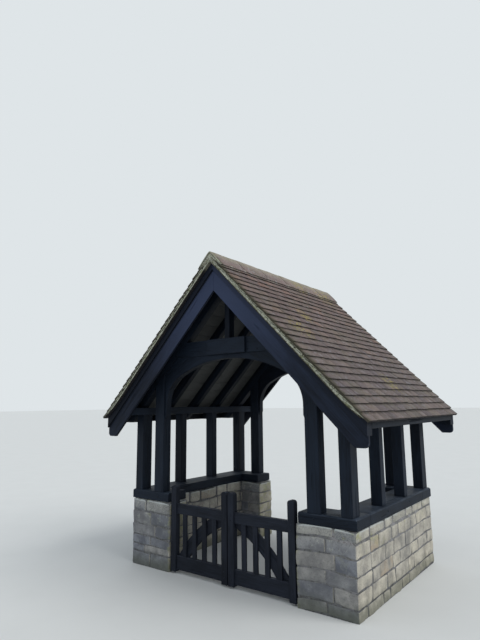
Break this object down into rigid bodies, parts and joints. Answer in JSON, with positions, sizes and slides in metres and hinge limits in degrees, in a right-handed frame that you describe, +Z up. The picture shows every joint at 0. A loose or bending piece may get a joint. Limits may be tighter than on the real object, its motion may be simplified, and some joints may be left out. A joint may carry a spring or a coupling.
{
  "type": "lychgate",
  "caption": "Timber-framed roofed gateway on stone plinths, with arch-braced trusses, a steep tiled roof and a pair of swinging gate leaves.",
  "frame": {"origin": "on the ground at the middle of the passage, under the middle of the roof's length and width", "axes": "+X across the passage to the right as seen from the road, +Y through the passage from the road to the yard, +Z up"},
  "size_m": [3.45, 2.68, 3.466],
  "materials": {
    "dark_timber": "satin",
    "bare_boards": "matte",
    "gate_paint": "satin",
    "limestone": "matte",
    "clay_tile": "matte",
    "lime_mortar": "matte",
    "black_iron": "satin"
  },
  "bodies": {
    "structure": {"plinth_left": "limestone", "plinth_right": "limestone", "end_sills_front": "dark_timber", "end_sills_back": "dark_timber", "side_sills": "dark_timber", "main_posts_front": "dark_timber", "main_posts_back": "dark_timber", "corner_posts_front": "dark_timber", "corner_posts_back": "dark_timber", "side_studs": "dark_timber", "wall_plates": "dark_timber", "principals_front": "dark_timber", "principals_back": "dark_timber", "collars": "dark_timber", "king_posts": "dark_timber", "arch_braces_left": "dark_timber", "arch_braces_right": "dark_timber", "rafters_left": "dark_timber", "rafters_right": "dark_timber", "verge_rafters": "dark_timber", "ridge_board": "dark_timber", "roof_boards_left": "bare_boards", "roof_boards_right": "bare_boards", "tiles_left": "clay_tile", "tiles_right": "clay_tile", "ridge_tiles": "clay_tile", "verge_bedding_left": "lime_mortar", "verge_bedding_right": "lime_mortar", "bargeboards_left": "dark_timber", "bargeboards_right": "dark_timber", "eaves_fascias": "dark_timber", "hinge_hooks_left": "black_iron", "hinge_hooks_right": "black_iron"},
    "gate_leaf_left": {"gate_left_stiles": "gate_paint", "gate_left_rails": "gate_paint", "gate_left_pickets": "gate_paint", "gate_left_brace": "gate_paint", "gate_left_straps": "black_iron"},
    "gate_leaf_right": {"gate_right_stiles": "gate_paint", "gate_right_rails": "gate_paint", "gate_right_pickets": "gate_paint", "gate_right_brace": "gate_paint", "gate_right_straps": "black_iron"}
  },
  "joints": [
    {"name": "gate_left_hinge", "type": "hinge", "parent": "structure", "child": "gate_leaf_left", "pos_m": [-0.79, -0.978, 0.3965], "axis": [0, 0, 1], "range_deg": [0, 95]},
    {"name": "gate_right_hinge", "type": "hinge", "parent": "structure", "child": "gate_leaf_right", "pos_m": [0.79, -0.978, 0.3965], "axis": [0, 0, -1], "range_deg": [0, 95]}
  ]
}
